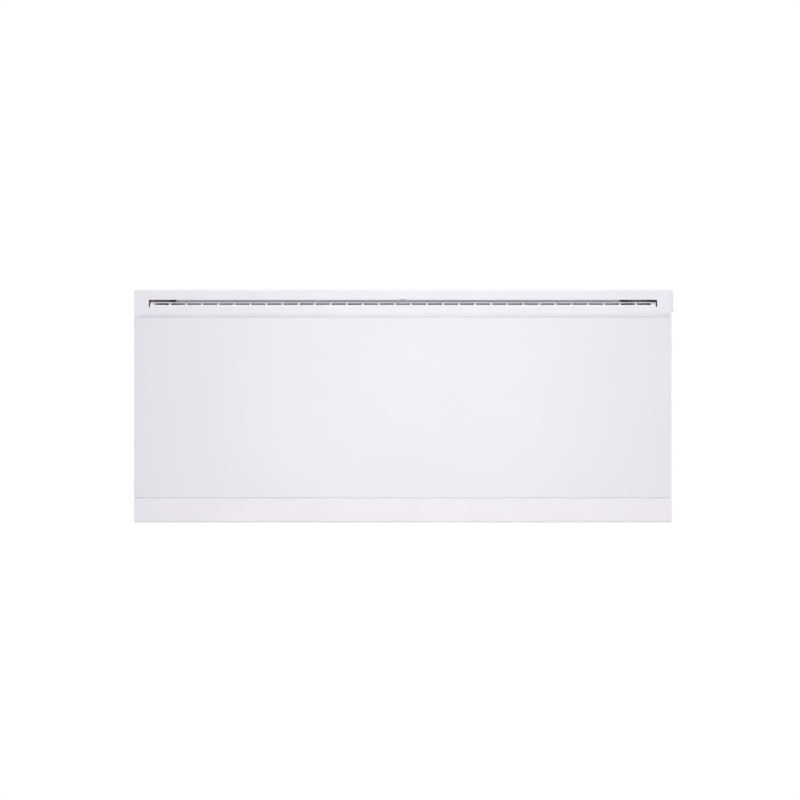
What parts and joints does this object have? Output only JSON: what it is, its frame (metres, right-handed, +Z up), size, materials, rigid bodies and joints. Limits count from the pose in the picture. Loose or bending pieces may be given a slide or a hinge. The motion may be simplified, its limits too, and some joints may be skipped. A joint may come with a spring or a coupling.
{
  "type": "wall panel convector heater",
  "caption": "Slim wall convector heater with a white glass front, a slotted warm-air outlet, side controls and a tilting mount on a steel wall bracket.",
  "frame": {"origin": "on the wall, at the middle of the back face of the wall bracket's upper rail", "axes": "+X to the right along the heater, +Y into the wall, +Z up; the glass front faces -Y"},
  "size_m": [0.7875, 0.086, 0.34],
  "materials": {
    "painted_steel": "fine satin powder coat, white with a slight lavender tint",
    "white_glass": "polished float glass painted white on its back, opaque",
    "bonding_tape": "matt acrylic foam",
    "galvanised_steel": "galvanised sheet",
    "spring_steel": "polished spring steel",
    "fastener_steel": "zinc plated",
    "element_aluminium": "mill finish",
    "element_tube": "stainless tube darkened by heat",
    "ceramic": "unglazed",
    "white_plastic": "fine moulded texture",
    "grey_plastic": "moulded nylon",
    "black_plastic": "moulded",
    "dark_window": "smoked and polished",
    "circuit_board": "green solder resist",
    "brass": "plain",
    "brown_sleeve": "silicone sleeve",
    "red_sleeve": "silicone sleeve",
    "blue_sleeve": "silicone sleeve",
    "green_sleeve": "silicone sleeve",
    "black_sleeve": "silicone sleeve"
  },
  "bodies": {
    "wall_bracket": {"wall_bracket": "galvanised_steel", "latch_spring_left": "spring_steel", "latch_spring_right": "spring_steel", "latch_rivet_left": "fastener_steel", "latch_rivet_right": "fastener_steel"},
    "heater": {"front_casing": "painted_steel", "glass_panel": "white_glass", "glass_tape_bottom": "bonding_tape", "glass_tape_top": "bonding_tape", "glass_tape_left": "bonding_tape", "glass_tape_right": "bonding_tape", "rear_cover": "painted_steel", "rear_cover_screw_1": "fastener_steel", "rear_cover_screw_2": "fastener_steel", "rear_cover_screw_3": "fastener_steel", "rear_cover_screw_4": "fastener_steel", "rear_cover_screw_5": "fastener_steel", "rear_cover_screw_6": "fastener_steel", "rear_cover_screw_7": "fastener_steel", "rear_cover_screw_8": "fastener_steel", "element_sheath": "element_tube", "element_fins": "element_aluminium", "element_bracket": "galvanised_steel", "element_bushing_lower": "ceramic", "element_bushing_upper": "ceramic", "element_terminal_lower": "ceramic", "element_terminal_upper": "ceramic", "heat_shield": "element_aluminium", "air_guide": "galvanised_steel", "partition_wall": "galvanised_steel", "overheat_cutout": "black_plastic", "control_housing": "black_plastic", "control_board": "circuit_board", "power_relay": "black_plastic", "display_module": "black_plastic", "display_window": "dark_window", "control_bezel": "white_plastic", "terminal_block": "white_plastic", "cable_gland": "grey_plastic", "gland_nut": "grey_plastic", "earth_stud": "brass", "room_sensor": "black_plastic", "sensor_clip": "grey_plastic", "power_switch_body": "white_plastic", "lead_mains_live": "brown_sleeve", "lead_switched_live": "brown_sleeve", "lead_relay_out": "red_sleeve", "lead_cutout_element": "red_sleeve", "lead_neutral": "blue_sleeve", "lead_earth": "green_sleeve", "lead_sensor": "black_sleeve"},
    "power_rocker": {"power_rocker": "white_plastic"},
    "button_down": {"button_down": "white_plastic"},
    "button_ok": {"button_ok": "white_plastic"},
    "button_up": {"button_up": "white_plastic"}
  },
  "joints": [
    {"name": "heater_tilt", "type": "hinge", "parent": "wall_bracket", "child": "heater", "pos_m": [0, -0.0225, -0.196], "axis": [1, 0, 0], "range_deg": [0, 25], "deforming": ["latch_spring_left", "latch_spring_right"]},
    {"name": "power_rocker", "type": "hinge", "parent": "heater", "child": "power_rocker", "pos_m": [0.3911, -0.05575, 0.026], "axis": [0, -1, 0], "range_deg": [0, 20]},
    {"name": "button_down", "type": "slide", "parent": "heater", "child": "button_down", "axis": [-1, 0, 0], "range_m": [0, 0.0008], "stiffness_N_per_m": 400},
    {"name": "button_ok", "type": "slide", "parent": "heater", "child": "button_ok", "axis": [-1, 0, 0], "range_m": [0, 0.0008], "stiffness_N_per_m": 400},
    {"name": "button_up", "type": "slide", "parent": "heater", "child": "button_up", "axis": [-1, 0, 0], "range_m": [0, 0.0008], "stiffness_N_per_m": 400}
  ]
}
